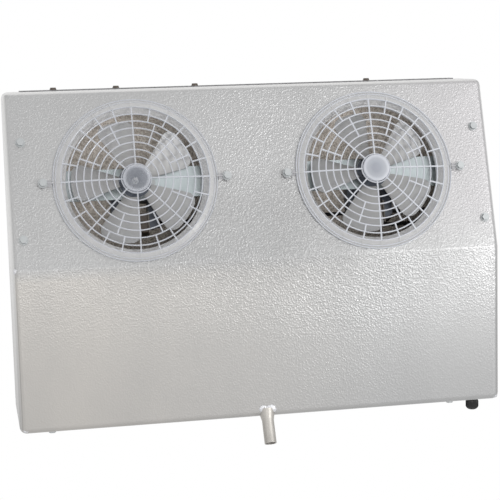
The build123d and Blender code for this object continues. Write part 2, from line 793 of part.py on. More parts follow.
foot_front_y = front_y + foot_front
foot_z = bottom_z + sheet + seat_gap
for side, face in tube_sheet_faces.items():
    sign = sides[side]
    with BuildPart() as tube_sheet:
        with BuildSketch(Plane.YZ.offset(face)):
            Polygon(
                (foot_front_y, foot_z),
                (foot_front_y, foot_z + foot_rise),
                (fin_front, foot_z + 2 * foot_rise),
                (fin_front, fin_high),
                (seat_y, fin_high),
                (seat_y, fin_low),
                (foot_front_y + foot_depth, fin_low),
                (foot_front_y + foot_depth, foot_z),
                align=None,
            )
            with Locations(*tube_order):
                Circle(tube_radius + thread_gap, mode=Mode.SUBTRACT)
        extrude(amount=sign * sheet)
        edge_align = Align.MIN if sign > 0 else Align.MAX
        with BuildSketch(Plane.XY.offset(foot_z)):
            with Locations((face, foot_front_y)):
                Rectangle(tube_sheet_edge, foot_depth, align=(edge_align, Align.MIN))
        extrude(amount=sheet)
        with BuildSketch(Plane.XZ.offset(-seat_y)):
            with Locations((face, fin_low)):
                Rectangle(tube_sheet_edge, fin_high - fin_low, align=(edge_align, Align.MIN))
        extrude(amount=sheet)
        drill([place.offset(-sheet) for place in lip_screws], shank_radius + thread_gap, 2 * sheet)
    finish(tube_sheet, f"tube_sheet_{side}")

# strip that keeps the air from passing before the coil
with BuildPart() as coil_baffle:
    with BuildSketch(Plane.YZ.offset(coil_left)):
        Polygon(
            (front_y + sheet + slip_gap, fin_high + seat_gap),
            (fin_front + sheet, fin_high + seat_gap),
            (fin_front + sheet, fin_high + seat_gap + sheet),
            (front_y + sheet + slip_gap + sheet, fin_high + seat_gap + sheet),
            (front_y + sheet + slip_gap + sheet, fin_high + baffle_drop),
            (front_y + sheet + slip_gap, fin_high + baffle_drop),
            align=None,
        )
    extrude(amount=coil_length)
finish(coil_baffle, "coil_baffle")

# -------------------------------- refrigerant lines, each down to a capped end below the case
lines = {
    "suction": (tube_order[0], suction_radius, bottom_z - suction_drop),
    "liquid": (tube_order[-1], tube_radius, bottom_z - liquid_drop),
}
for name, ((y, z), radius, end_z) in lines.items():
    with BuildPart() as line:
        with BuildLine():
            FilletPolyline((tube_start, y, z), (line_x, y, z), (line_x, y, end_z), radius=line_bend)
        with BuildSketch(Plane(origin=(tube_start, y, z), x_dir=(0, 1, 0), z_dir=(1, 0, 0))):
            Circle(radius)
        sweep()
    finish(line, f"{name}_line")
    with BuildPart() as cap:
        with BuildSketch(Plane.XY.offset(end_z - cap_wall)):
            with Locations((line_x, y)):
                Circle(radius + cap_wall)
        extrude(amount=cap_cover)
        fillet(cap.edges().group_by(Axis.Z)[0], cap_round)
        with BuildSketch(Plane.XY.offset(end_z)):
            with Locations((line_x, y)):
                Circle(radius)
        extrude(amount=cap_cover, mode=Mode.SUBTRACT)
    finish(cap, f"{name}_cap")

# -------------------------------- wiring: terminal block, grommet and the leads of the two motors
with BuildPart() as terminal_block:
    with BuildSketch(Plane.XZ.offset(-seat_y)):
        with Locations(terminal_place):
            Rectangle(terminal_width, terminal_height)
    extrude(amount=terminal_depth)
    post_pitch = terminal_height / terminal_posts
    with BuildSketch(Plane.XZ.offset(-seat_y + terminal_depth)):
        with Locations(terminal_place):
            with GridLocations(1, post_pitch, 1, terminal_posts):
                Circle(post_radius)
    extrude(amount=post_height)
finish(terminal_block, "terminal_block")

with BuildPart() as supply_grommet:
    with BuildSketch(Plane.XZ.offset(sheet)):
        with Locations(grommet_place):
            Circle(grommet_radius + grommet_flange)
    extrude(amount=grommet_half_length)
    with BuildSketch(Plane.XZ):
        with Locations(grommet_place):
            Circle(grommet_radius)
    extrude(amount=sheet)
    with BuildSketch(Plane.XZ):
        with Locations(grommet_place):
            Circle(grommet_bore)
    extrude(amount=sheet + grommet_half_length, mode=Mode.SUBTRACT)
finish(supply_grommet, "supply_grommet")

lead_y = seat_y - lead_off_plate
terminal_side = terminal_place[0] - terminal_width / 2
for side, sign in sides.items():
    start = fan_place(sign).from_local_coords((bobbin_half, limb_middle[0], stack_rear - lead_width))
    z = lead_zs[side]
    with BuildPart() as motor_lead:
        with BuildLine():
            FilletPolyline(
                (start.X, start.Y, start.Z),
                (start.X + 2 * lead_bend, start.Y, start.Z),
                (start.X + 2 * lead_bend, lead_y, z),
                (terminal_side, lead_y, z),
                radius=lead_bend,
            )
        with BuildSketch(Plane(origin=start, x_dir=(0, 1, 0), z_dir=(1, 0, 0))):
            Rectangle(lead_thickness, lead_width)
        sweep()
    finish(motor_lead, f"motor_lead_{side}")
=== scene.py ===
import json
import math

import bpy
from mathutils import Matrix, Vector


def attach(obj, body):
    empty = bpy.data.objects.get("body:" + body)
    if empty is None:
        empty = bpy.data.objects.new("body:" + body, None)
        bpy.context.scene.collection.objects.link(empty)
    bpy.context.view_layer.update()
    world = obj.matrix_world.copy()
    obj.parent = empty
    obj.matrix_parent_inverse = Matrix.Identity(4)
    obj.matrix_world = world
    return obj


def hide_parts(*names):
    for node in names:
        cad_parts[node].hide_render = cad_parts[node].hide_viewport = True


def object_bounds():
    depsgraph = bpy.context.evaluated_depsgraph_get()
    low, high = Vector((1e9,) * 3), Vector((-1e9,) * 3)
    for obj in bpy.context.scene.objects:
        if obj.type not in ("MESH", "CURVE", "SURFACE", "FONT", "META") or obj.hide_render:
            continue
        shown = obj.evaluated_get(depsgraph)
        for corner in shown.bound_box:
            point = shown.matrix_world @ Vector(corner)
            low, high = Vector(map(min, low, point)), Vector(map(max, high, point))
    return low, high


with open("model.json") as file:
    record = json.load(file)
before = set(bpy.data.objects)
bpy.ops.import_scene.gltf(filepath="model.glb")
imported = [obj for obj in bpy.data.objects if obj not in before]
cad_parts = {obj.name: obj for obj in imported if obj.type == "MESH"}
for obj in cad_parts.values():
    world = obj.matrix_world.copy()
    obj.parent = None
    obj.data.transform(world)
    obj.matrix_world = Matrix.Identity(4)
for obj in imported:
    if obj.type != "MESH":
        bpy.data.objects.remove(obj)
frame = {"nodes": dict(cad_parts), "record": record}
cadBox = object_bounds()
print("frame loaded")

# camera: a little from the left and from above, angles in degrees
camera = {
    "azimuth": -11.22,
    "elevation": 8.0,
    "roll": -1.47,
    "distance": 1.8613,
    "lens": 103.56,
    "sensor": 36,
    "target": (-0.0119, -0.1, 0.0025),
}


def placeCamera():
    az, el, roll = (math.radians(camera[k]) for k in ("azimuth", "elevation", "roll"))
    back = Vector((math.sin(az) * math.cos(el), -math.cos(az) * math.cos(el), math.sin(el)))
    right = (-back).cross(Vector((0, 0, 1))).normalized()
    up = right.cross(-back)
    turnedRight = right * math.cos(roll) + up * math.sin(roll)
    turnedUp = up * math.cos(roll) - right * math.sin(roll)
    turn = Matrix((turnedRight, turnedUp, back)).transposed().to_4x4()
    place = Vector(camera["target"]) + back * camera["distance"]
    bpy.ops.object.camera_add()
    cam = bpy.context.object
    cam.name = "mainCamera"
    cam.matrix_world = Matrix.Translation(place) @ turn
    cam.data.lens = camera["lens"]
    cam.data.sensor_width = camera["sensor"]
    bpy.context.scene.camera = cam


placeCamera()
print("camera placed")


# sockets that add their own Math nodes
class Val:
    def __init__(self, shop, link):
        self.shop, self.link = shop, link

    def math(self, kind, other=None, flip=False):
        values = [self, other] if other is not None else [self]
        if flip:
            values.reverse()
        return self.shop.node("ShaderNodeMath", {"operation": kind}, values)

    def __add__(self, other):
        return self.math("ADD", other)

    def __radd__(self, other):
        return self.math("ADD", other)

    def __sub__(self, other):
        return self.math("SUBTRACT", other)

    def __rsub__(self, other):
        return self.math("SUBTRACT", other, True)

    def __mul__(self, other):
        return self.math("MULTIPLY", other)

    def __rmul__(self, other):
        return self.math("MULTIPLY", other)

    def __pow__(self, other):
        return self.math("POWER", other)

    def __abs__(self):
        return self.math("ABSOLUTE")

    def sign(self):
        return self.math("SIGN")

    def clamp(self, low=0.0, high=1.0):
        return self.shop.node("ShaderNodeClamp", {}, [self, low, high])


# a node tree under work
class Shop:
    def __init__(self, tree):
        self.tree = tree

    def node(self, kind, settings=None, inputs=(), out=0):
        made = self.tree.nodes.new(kind)
        for key, value in (settings or {}).items():
            setattr(made, key, value)
        pairs = inputs.items() if isinstance(inputs, dict) else enumerate(inputs)
        for key, value in pairs:
            self.plug(made.inputs[key], value)
        return Val(self, made.outputs[out])

    def plug(self, socket, value):
        if isinstance(value, Val):
            self.tree.links.new(value.link, socket)
        elif isinstance(value, (tuple, list)) and len(value) == 3 and socket.type == "RGBA":
            socket.default_value = (*value, 1)
        else:
            socket.default_value = value


# a material under work
class Finish(Shop):
    def __init__(self, name):
        self.mat = bpy.data.materials.new(name)
        self.mat.use_nodes = True
        super().__init__(self.mat.node_tree)
        self.shader = self.tree.nodes["Principled BSDF"]
        self.out = self.tree.nodes["Material Output"]

    def set(self, **values):
        for key, value in values.items():
            self.plug(self.shader.inputs[key.replace("_", " ")], value)

    def object(self):
        return self.node("ShaderNodeTexCoord", out="Object")

    def axis(self, place, name):
        return self.node("ShaderNodeSeparateXYZ", {}, [place], name)

    def noise(self, place, scale, detail=2.0, roughness=0.5, distortion=0.0):
        values = {"Vector": place, "Scale": scale, "Detail": detail}
        values.update(Roughness=roughness, Distortion=distortion)
        return self.node("ShaderNodeTexNoise", {"noise_dimensions": "3D"}, values)

    def blend(self, factor, one, two):
        # the colour sockets of the Mix node
        return self.node("ShaderNodeMix", {"data_type": "RGBA"}, {0: factor, 6: one, 7: two}, 2)

    def bump(self, height, distance):
        values = {"Strength": 1.0, "Distance": distance, "Height": height}
        return self.node("ShaderNodeBump", {}, values)


def fade(value, start, slope, least=0.0):
    # a share of 0 at the start that changes by the slope per unit, held between the least and 1
    return ((value - start) * slope).clamp(least, 1.0)


def shaded(tone, share):
    return tuple(c * share for c in tone)


# where the axes of the fans meet the fan face, and how far that face leans back, in degrees
fans = {"left": -0.1566, "right": 0.1566, "y": -0.097561, "z": 0.099392, "lean": 17.2}


def fanRadius(f, place):
    # distance from the axis of the nearer fan
    lean = math.radians(fans["lean"])
    x, y, z = (f.axis(place, name) for name in "XYZ")
    side = abs(x) - fans["right"]
    up = (y - fans["y"]) * math.sin(lean) + (z - fans["z"]) * math.cos(lean)
    return (side * side + up * up) ** 0.5


# embossed aluminium of the case: small raised worms over shallow dents
emboss = {
    "grain": 440.0,
    "dentGrain": 220.0,
    "islands": (0.42, 4.5),
    "islandHeight": 0.7,
    "dentHeight": 0.8,
}


def embossHeight(f, place):
    islands = f.noise(place, emboss["grain"], 1.0, 0.4, 0.35)
    dents = f.noise(place, emboss["dentGrain"], 1.0)
    return fade(islands, *emboss["islands"]) * emboss["islandHeight"] + dents * emboss["dentHeight"]


# front pan; two numbers in brackets are the start and slope of a fade, a third is the least it gives
pan = {
    "relief": 0.00042,
    "flatLeft": (-0.4, 2.2, 0.55),
    "flatLow": (-0.02, -10),
    "flatLowShare": 0.72,
    "flatRight": (0.12, 8),
    "flatRightShare": 0.55,
    "sideFold": (0.3135, 400),
    "topFold": (0.2095, 600),
    "flatFoldShare": 0.5,
    "tone": (0.43, 0.43, 0.43),
    # painted light: a lighter, warmer tone on the lower face, fading out to the right
    "lowerFaceLightTone": (0.50, 0.482, 0.458),
    "lowerFace": (-0.004, -60),
    "lowerFaceLightLeft": (0.16, -2.6),
    "darkShare": 0.72,
    "hazeStretch": (2.4, 1, 0.9),
    "haze": (0.42, 2.6),
    "hazeShare": 0.3,
    # painted shade in a band just above the bend
    "bendShadePlace": (-0.04, 0.03),
    "bendShadeAlong": (0.2, -8),
    "bendShadeUp": (0.075, -22),
    "bendShadeShare": 0.42,
    # painted light: lighter at the upper right
    "paintedLightTone": (0.49, 0.475, 0.485),
    "paintedLightRight": (0.12, 6),
    "paintedLightUp": (0, 20),
    "paintedLightShare": 0.5,
    # painted sheen on the walls: brighter at the top, greyer low down
    "paintedWallSheen": (0.72, 0.715, 0.71),
    "paintedLowWallSheen": (0.42, 0.415, 0.41),
    "wallSheenUp": (-0.22, 4),
    # painted shade in the crease where a side wall starts, low on the case
    "creaseShadeTone": (0.16, 0.155, 0.15),
    "crease": 0.3138,
    "creaseSlope": 1800,
    "creaseLow": (0.02, -12),
    "creaseShadeShare": 0.6,
    # painted light: the collars of the orifices pale
    "paintedMouthLight": (0.82, 0.81, 0.80),
    "mouth": (0.0965, -500),
    "metallic": 0.88,
    "mouthMatt": 0.6,
    "roughness": 0.27,
    "broadRough": 0.1,
    "hazeRough": 0.14,
}


def panFinish(name):
    f = Finish(name)
    place = f.object()
    x, z = f.axis(place, "X"), f.axis(place, "Z")
    # the relief is flatter at the left, low down, at the right and where the folds pressed it
    pressed = (fade(abs(x), *pan["sideFold"]) + fade(z, *pan["topFold"])).clamp()
    height = embossHeight(f, place) * fade(x, *pan["flatLeft"])
    height = height * (1 - fade(z, *pan["flatLow"]) * pan["flatLowShare"])
    height = height * (1 - fade(x, *pan["flatRight"]) * pan["flatRightShare"])
    height = height * (1 - pressed * pan["flatFoldShare"])
    # painted light: the lower face lighter and warmer towards the left; and hazy streaks from handling
    broad = f.noise(place, 5.0, 3.0)
    stretched = f.node("ShaderNodeVectorMath", {"operation": "MULTIPLY"}, [place, pan["hazeStretch"]])
    haze = f.noise(stretched, 5.0, 4.0, 0.55)
    dark = shaded(pan["tone"], pan["darkShare"])
    lowerFaceLight = fade(z, *pan["lowerFace"]) * fade(x, *pan["lowerFaceLightLeft"])
    colour = f.blend(lowerFaceLight, pan["tone"], pan["lowerFaceLightTone"])
    colour = f.blend(fade(haze, *pan["haze"]) * pan["hazeShare"], colour, dark)
    # painted shade just above the bend, painted light at the upper right
    bendShadeX, bendShadeZ = pan["bendShadePlace"]
    bendShade = fade(abs(z - bendShadeZ), *pan["bendShadeUp"]) * fade(abs(x - bendShadeX), *pan["bendShadeAlong"])
    colour = f.blend(bendShade * pan["bendShadeShare"], colour, dark)
    light = fade(x, *pan["paintedLightRight"]) * fade(z, *pan["paintedLightUp"])
    colour = f.blend(light * pan["paintedLightShare"], colour, pan["paintedLightTone"])
    # painted sheen on the side and top walls, brighter higher up; painted shade in the crease where a side
    # wall starts; painted light on the collars of the orifices
    paintedWallSheen = f.blend(fade(z, *pan["wallSheenUp"]), pan["paintedLowWallSheen"], pan["paintedWallSheen"])
    colour = f.blend(pressed, colour, paintedWallSheen)
    # painted shade along the crease
    crease = (1 - abs(abs(x) - pan["crease"]) * pan["creaseSlope"]).clamp() * fade(z, *pan["creaseLow"])
    colour = f.blend(crease * pan["creaseShadeShare"], colour, pan["creaseShadeTone"])
    # painted light on the collars of the orifices, which are also less metallic
    mouth = fade(fanRadius(f, place), *pan["mouth"])
    f.set(
        Base_Color=f.blend(mouth, colour, pan["paintedMouthLight"]),
        Metallic=pan["metallic"] - mouth * pan["mouthMatt"],
        Roughness=(broad * pan["broadRough"] + haze * pan["hazeRough"] + pan["roughness"]).clamp(),
        Normal=f.bump(height, pan["relief"]),
    )
    return f.mat


# back plate: the side turned to the fans is painted brighter as if lit, with painted shade in the pits of its
# emboss, and a faint painted glow stands in for light thrown about inside
plate = {
    "relief": 0.0006,
    "outerTone": (0.42, 0.41, 0.40),
    "turnedTone": (0.22, 0.22, 0.225),
    "turnedEdge": (0.2105, 4000),
    "innerSide": (-0.0006, -5000),
    # painted light on the side turned to the fans, with painted shade in its pits
    "litTone": (0.95, 0.87, 0.79),
    "pitShadeTone": (0.42, 0.37, 0.31),
    "pits": (0.75, -2.2),
    "pitShadeShare": 0.7,
    # painted glow: light thrown about inside, stronger higher up and to the left of each fan's axis
    "glow": 0.17,
    "glowMiddle": 0.62,
    "glowUp": 3.5,
    "glowAside": 5,
    "metallic": 0.85,
    "innerMatt": 0.8,
    "roughness": 0.42,
}


def plateFinish(name):
    f = Finish(name)
    place = f.object()
    x, y, z = (f.axis(place, name) for name in "XYZ")
    height = embossHeight(f, place)
    turnedEdge = fade(z, *plate["turnedEdge"])
    inner = fade(y, *plate["innerSide"]) * (1 - turnedEdge)
    # the side turned to the fans painted as lit, darker in the pits as painted shade
    lit = f.blend(fade(height, *plate["pits"]) * plate["pitShadeShare"], plate["litTone"], plate["pitShadeTone"])
    aside = x - x.sign() * fans["right"]
    # painted glow, stronger higher up and to the left of each fan's axis
    glow = plate["glowMiddle"] + (z - fans["z"]) * plate["glowUp"] - aside * plate["glowAside"]
    sides = f.blend(inner, plate["outerTone"], lit)
    f.set(
        Base_Color=f.blend(turnedEdge, sides, plate["turnedTone"]),
        Metallic=plate["metallic"] - inner * plate["innerMatt"],
        Roughness=plate["roughness"],
        Emission_Color=f.blend(inner * glow.clamp(), (0, 0, 0), lit),
        Emission_Strength=plate["glow"],
        Normal=f.bump(height, plate["relief"]),
    )
    return f.mat


# plain metals: a fine grain in the surface, and stains that are darker
stain = {"grain": 22.0, "edge": (0.45, 3), "tone": 0.62, "fineRough": 0.12, "broadRough": 0.14}
metals = {
    "bladeSheet": {
        "tone": (0.48, 0.475, 0.47),
        "roughness": 0.5,
        "grain": 160.0,
        "relief": 0.00001,
        "metallic": 0.78,
        # painted shade darker towards the tips, and a black hub, by the distance from the fan's axis
        "rounds": [((0.03, 16), 0.45, (0.22, 0.23, 0.245)), ((0.0212, -1500), 1, (0.10, 0.11, 0.13))],
    },
    "zincPlating": {"tone": (0.44, 0.455, 0.46), "roughness": 0.46, "grain": 700.0},
    "strapSteel": {"tone": (0.50, 0.55, 0.56), "roughness": 0.45, "grain": 300.0},
    "darkScrews": {
        "tone": (0.12, 0.10, 0.085),
        "roughness": 0.45,
        "grain": 700.0,
        "relief": 0.00003,
        "metallic": 0.6,
    },
    "laminations": {
        "tone": (0.10, 0.11, 0.13),
        "roughness": 0.5,
        "grain": 300.0,
        "relief": 0.00003,
        "metallic": 0.6,
    },
    "groundSteel": {"tone": (0.5, 0.5, 0.5), "roughness": 0.22, "grain": 500.0},
    "drawnCopper": {"tone": (0.62, 0.33, 0.2), "roughness": 0.32, "grain": 300.0},
    "finStock": {"tone": (0.74, 0.74, 0.74), "roughness": 0.4, "grain": 250.0, "metallic": 0.8},
    "millSheet": {"tone": (0.74, 0.74, 0.73), "roughness": 0.42, "grain": 200.0, "metallic": 0.7},
    "dullTube": {
        "tone": (0.50, 0.48, 0.45),
        "roughness": 0.45,
        "grain": 350.0,
        "relief": 0.00004,
        "metallic": 0.9,
        "dirt": 0.5,
    },
    "weldBead": {
        "tone": (0.66, 0.66, 0.68),
        "roughness": 0.38,
        "grain": 500.0,
        "relief": 0.0004,
        "metallic": 0.8,
        "dirt": 0.5,
    },
}


def plainMetal(name, tone, roughness, grain, relief=0.00002, metallic=0.95, dirt=0.2, rounds=()):
    f = Finish(name)
    place = f.object()
    fine = f.noise(place, grain, 3.0, 0.6)
    broad = f.noise(place, stain["grain"], 3.0, 0.6)
    colour = f.blend(fade(broad, *stain["edge"]) * dirt, tone, shaded(tone, stain["tone"]))
    for edge, share, roundTone in rounds:
        colour = f.blend(fade(fanRadius(f, place), *edge) * share, colour, roundTone)
    # the noises add about 0.12 to the roughness
    rough = fine * stain["fineRough"] + broad * stain["broadRough"] + (roughness - 0.12)
    f.set(Base_Color=colour, Metallic=metallic, Roughness=rough.clamp(), Normal=f.bump(fine, relief))
    return f.mat


# plain plastics: a fine grain in the surface, and a few darker clouds
plasticSkin = {"grain": 900.0, "relief": 0.00003, "clouds": 40.0, "cloudEdge": (0.4, 2), "cloudShare": 0.3}
plastics = {
    "tapedWinding": {"tone": (0.09, 0.07, 0.055), "roughness": 0.5},
    "softCap": {"tone": (0.012, 0.012, 0.012), "roughness": 0.45},
    "bobbinPlastic": {"tone": (0.16, 0.14, 0.12), "roughness": 0.5},
    "terminalPlastic": {"tone": (0.02, 0.02, 0.02), "roughness": 0.5},
    "leadSheath": {"tone": (0.03, 0.03, 0.03), "roughness": 0.55},
}


def plainPlastic(name, tone, roughness):
    f = Finish(name)
    place = f.object()
    fine = f.noise(place, plasticSkin["grain"])
    broad = f.noise(place, plasticSkin["clouds"])
    cloud = fade(broad, *plasticSkin["cloudEdge"]) * plasticSkin["cloudShare"]
    # the noise adds about 0.07 to the roughness
    rough = broad * 0.15 + (roughness - 0.07)
    f.set(
        Base_Color=f.blend(cloud, tone, shaded(tone, 0.75)),
        Roughness=rough.clamp(),
        Normal=f.bump(fine, plasticSkin["relief"]),
    )
    return f.mat


coats = {"embossedPan": panFinish("embossedPan"), "embossedPlate": plateFinish("embossedPlate")}
coats |= {name: plainMetal(name, **values) for name, values in metals.items()}
coats |= {name: plainPlastic(name, **values) for name, values in plastics.items()}
print("finishes mixed")

# CAD nodes that keep their mesh and only get their finish
flatPieces = {
    "embossedPlate": ["back_plate"],
    "millSheet": [
        "plenum_end_left",
        "plenum_end_right",
        "tube_sheet_left",
        "tube_sheet_right",
        "coil_baffle",
    ],
    "strapSteel": [
        "motor_strap_left",
        "motor_strap_right",
        "bearing_brackets_left",
        "bearing_brackets_right",
    ],
    "laminations": ["stator_stack_left", "stator_stack_right"],
    "bobbinPlastic": ["bobbin_left", "bobbin_right"],
    "tapedWinding": ["winding_left", "winding_right"],
    "finStock": ["coil_fins"],
    "terminalPlastic": ["terminal_block"],
    "leadSheath": ["motor_lead_left", "motor_lead_right"],
    "groundSteel": ["rotor_left", "rotor_right"],
}
for coat, nodes in flatPieces.items():
    for node in nodes:
        frame["nodes"][node].data.materials[0] = coats[coat]
print("flat pieces finished")

# CAD nodes that get a smooth copy
roundPieces = {
    "embossedPan": ["front_pan"],
    "dullTube": ["drain_tube"],
    "zincPlating": [
        "guard_screws",
        "side_panel_screws",
        "drain_lip_screws",
        "motor_bolts",
        "motor_spacers",
        "fan_nut_left",
        "fan_nut_right",
    ],
    "darkScrews": ["top_edge_screws"],
    "groundSteel": ["motor_shaft_left", "motor_shaft_right"],
    "drawnCopper": ["coil_tube", "suction_line", "liquid_line"],
    "softCap": ["supply_grommet"],
    "bladeSheet": ["fan_wheel_left", "fan_wheel_right"],
}
smoothAngle = math.radians(40)


def bodyOf(node):
    return next(body for body, nodes in frame["record"]["behaviour"]["bodies"].items() if node in nodes)


def deselect():
    if bpy.context.mode != "OBJECT":
        bpy.ops.object.mode_set(mode="OBJECT")
    bpy.ops.object.select_all(action="DESELECT")


def smoothCopy(node, finish):
    # the same shape with its loose triangles joined, so that curved faces shade smoothly
    deselect()
    piece = frame["nodes"][node].copy()
    piece.data = piece.data.copy()
    for key in list(piece.keys()):
        del piece[key]
    piece.name = node + "_smooth"
    piece.parent = None
    bpy.context.collection.objects.link(piece)
    bpy.context.view_layer.objects.active = piece
    piece.select_set(True)
    bpy.ops.object.mode_set(mode="EDIT")
    bpy.ops.mesh.select_all(action="SELECT")
    bpy.ops.mesh.remove_doubles(threshold=0.00001)
    bpy.ops.mesh.customdata_custom_splitnormals_clear()
    bpy.ops.object.mode_set(mode="OBJECT")
    bpy.ops.object.shade_smooth_by_angle(angle=smoothAngle)
    piece.data.materials[0] = finish
    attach(piece, bodyOf(node))
    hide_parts(node)


for coat, nodes in roundPieces.items():
    for node in nodes:
        smoothCopy(node, coats[coat])
print("round pieces finished")

# caps on the coil's lines, their bevel a share of their radius
caps = {"nodes": ["suction_cap", "liquid_cap"], "bevel": 0.6, "steps": 6}


def roundedCap(node):
    # as wide and as long as the plain cap; a new primitive is selected all over, so the bevel takes every
    # edge and not only the lower rim, which leaves faces that cut each other
    corners = [frame["nodes"][node].matrix_world @ v.co for v in frame["nodes"][node].data.vertices]
    low = Vector([min(c[k] for c in corners) for k in range(3)])
    high = Vector([max(c[k] for c in corners) for k in range(3)])
    radius = (high.x - low.x) / 2
    middle = (low + high) / 2
    deselect()
    bpy.ops.mesh.primitive_cylinder_add(vertices=48, radius=radius, depth=high.z - low.z, location=middle)
    cap = bpy.context.object
    cap.name = node + "_rounded"
    bpy.ops.object.mode_set(mode="EDIT")
    bpy.ops.mesh.bevel(offset=radius * caps["bevel"], segments=caps["steps"])
    bpy.ops.object.mode_set(mode="OBJECT")
    bpy.ops.object.transform_apply(location=True, rotation=True, scale=True)
    bpy.ops.object.shade_smooth_by_angle(angle=smoothAngle)
    cap.data.materials.append(coats["softCap"])
    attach(cap, "case")
    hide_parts(node)


for node in caps["nodes"]:
    roundedCap(node)
print("caps rounded")

# clear plastic of the guards: thin edges show as pale lines, faces let the fan show through
clearPlastic = {
    "tone": (0.90, 0.92, 0.97),
    "skirtTone": (0.97, 0.965, 0.96),
    "ribs": {"left": 0.46, "right": 0.72},
    "skirt": {"left": 0.38, "right": 0.34},
    "hub": {"left": 0.08, "right": 0.50},
    "edgeShare": 0.3,
    "cloudGrain": 60.0,
    "cloudShare": 0.08,
    "earTone": (0.66, 0.655, 0.67),
    "earEdge": (0.1056, 2000),
    "earShare": 0.32,
    "hubTone": (0.36, 0.39, 0.46),
    "hubMiddle": (0.0165, -90),
    "hubMiddleShare": 0.5,
    "hubRim": (0.0125, 350),
    "hubRimShare": 0.16,
    "roughness": 0.16,
    "relief": 0.0002,
}


def guardFinish(part, side):
    f = Finish(f"{part}_{side}")
    place = f.object()
    cloud = f.noise(place, clearPlastic["cloudGrain"])
    edge = f.node("ShaderNodeLayerWeight", {}, {"Blend": 0.35}, "Facing")
    tone = clearPlastic["skirtTone" if part == "skirt" else "tone"]
    colour = f.blend(cloud * 0.3, tone, shaded(tone, 0.9))
    solid = edge * clearPlastic["edgeShare"] + clearPlastic[part][side] + cloud * clearPlastic["cloudShare"]
    if part == "skirt":
        # the ears are thicker than the skirt
        ears = fade(fanRadius(f, place), *clearPlastic["earEdge"])
        colour = f.blend(ears, colour, clearPlastic["earTone"])
        solid = solid + ears * clearPlastic["earShare"]
    if part == "hub":
        # frosted rim, clearer and darker middle
        reach = fanRadius(f, place)
        middle = fade(reach, *clearPlastic["hubMiddle"]) * clearPlastic["hubMiddleShare"]
        colour = f.blend(middle, colour, clearPlastic["hubTone"])
        solid = solid + fade(reach, *clearPlastic["hubRim"]) * clearPlastic["hubRimShare"]
    f.set(
        Base_Color=colour,
        Roughness=(cloud * 0.1 + clearPlastic["roughness"]).clamp(),
        IOR=1.49,
        Alpha=solid.clamp(),
        Normal=f.bump(cloud, clearPlastic["relief"]),
    )
    return f.mat


# one fan guard, modelled about the fan's axis with the fan face at height 0
guard = {
    "rim": 0.0945,
    "pitch": 0.00945,
    "rings": 9,
    "ringWidth": 0.0019,
    "tall": 0.0026,
    "domeTop": 0.0115,
    "domeRim": 0.005,
    "turnSteps": 96,
    "ribWidth": 0.0017,
    "ribShare": 0.9,
    "ribDrop": 0.0001,
    "ribStep": 0.009,
    "mainRibs": 8,
    "outerRibs": 24,
    "hub": 0.0175,
    "hubThick": 0.0018,
    "hubDrop": 0.0012,
    "hubRise": 0.0026,
    "hubBevel": 0.0011,
    "skirtTopDrop": 0.0008,
    "skirtFoot": 0.1022,
    "skirtFootHigh": 0.0012,
    "skirtWall": 0.0010,
    "skirtRibTall": 0.0020,
    "beads": (0.1012, 0.1045),
    "beadWidth": 0.0015,
    "beadTall": 0.0026,
    "beadHigh": 0.0016,
    "baseTall": 0.0012,
    "baseHigh": 0.0009,
}
# the ears that take the guard's screws: a disc, the arm that carries it and a fin along the arm
ear = {
    "reach": 0.1171,
    "high": 0.0016,
    "radius": 0.0061,
    "thick": 0.0028,
    "bevel": 0.0005,
    "arm": {"reach": 0.1105, "high": 0.0016, "size": (0.009, 0.0075, 0.0027)},
    "fin": {"reach": 0.1075, "high": 0.0030, "size": (0.008, 0.0016, 0.0045)},
}
domeRise = guard["domeTop"] - guard["domeRim"]
domeRadius = (guard["rim"] ** 2 + domeRise**2) / (2 * domeRise)
domeHeart = guard["domeTop"] - domeRadius
ringRadii = [guard["rim"] - guard["pitch"] * k for k in range(guard["rings"])][::-1]


def addProfile(sides, place, along, across, size):
    # a flat outline of this many sides, ready to spin
    deselect()
    normal = Vector(along).cross(Vector(across))
    turn = Matrix((along, across, normal)).transposed().to_euler()
    put = {"location": place, "rotation": turn}
    if sides == 4:
        bpy.ops.mesh.primitive_plane_add(size=1, **put)
    else:
        bpy.ops.mesh.primitive_circle_add(vertices=sides, radius=0.5, fill_type="NGON", **put)
    made = bpy.context.object
    made.scale = (*size, 1)
    bpy.ops.object.transform_apply(location=True, rotation=True, scale=True)
    return made


def spinOutline(made, angle, steps, center, axis):
    bpy.ops.object.mode_set(mode="EDIT")
    bpy.ops.mesh.select_all(action="SELECT")
    whole = abs(angle - 2 * math.pi) < 1e-6
    if whole:
        bpy.ops.mesh.delete(type="ONLY_FACE")
        bpy.ops.mesh.select_all(action="SELECT")
    bpy.ops.mesh.spin(steps=steps, angle=angle, center=center, axis=axis)
    bpy.ops.mesh.select_all(action="SELECT")
    bpy.ops.mesh.remove_doubles(threshold=0.000002)
    if not whole:
        bpy.ops.mesh.select_all(action="SELECT")
        bpy.ops.mesh.fill_holes(sides=12)
    bpy.ops.mesh.select_all(action="SELECT")
    bpy.ops.mesh.normals_make_consistent(inside=False)
    bpy.ops.object.mode_set(mode="OBJECT")
    return made


def wholeTurn(outline):
    return spinOutline(outline, 2 * math.pi, guard["turnSteps"], (0, 0, 0), (0, 0, 1))


def flatRing(sides, radius, height, size):
    return wholeTurn(addProfile(sides, (radius, 0, height), (1, 0, 0), (0, 0, 1), size))


def domePoint(radius):
    a = math.asin(radius / domeRadius)
    out = Vector((math.sin(a), 0, math.cos(a)))
    along = Vector((math.cos(a), 0, -math.sin(a)))
    return a, out, along


def domeRing(radius):
    a, out, along = domePoint(radius)
    place = Vector((0, 0, domeHeart)) + out * (domeRadius - guard["tall"] / 2)
    return wholeTurn(addProfile(8, place, along, out, (guard["ringWidth"], guard["tall"])))


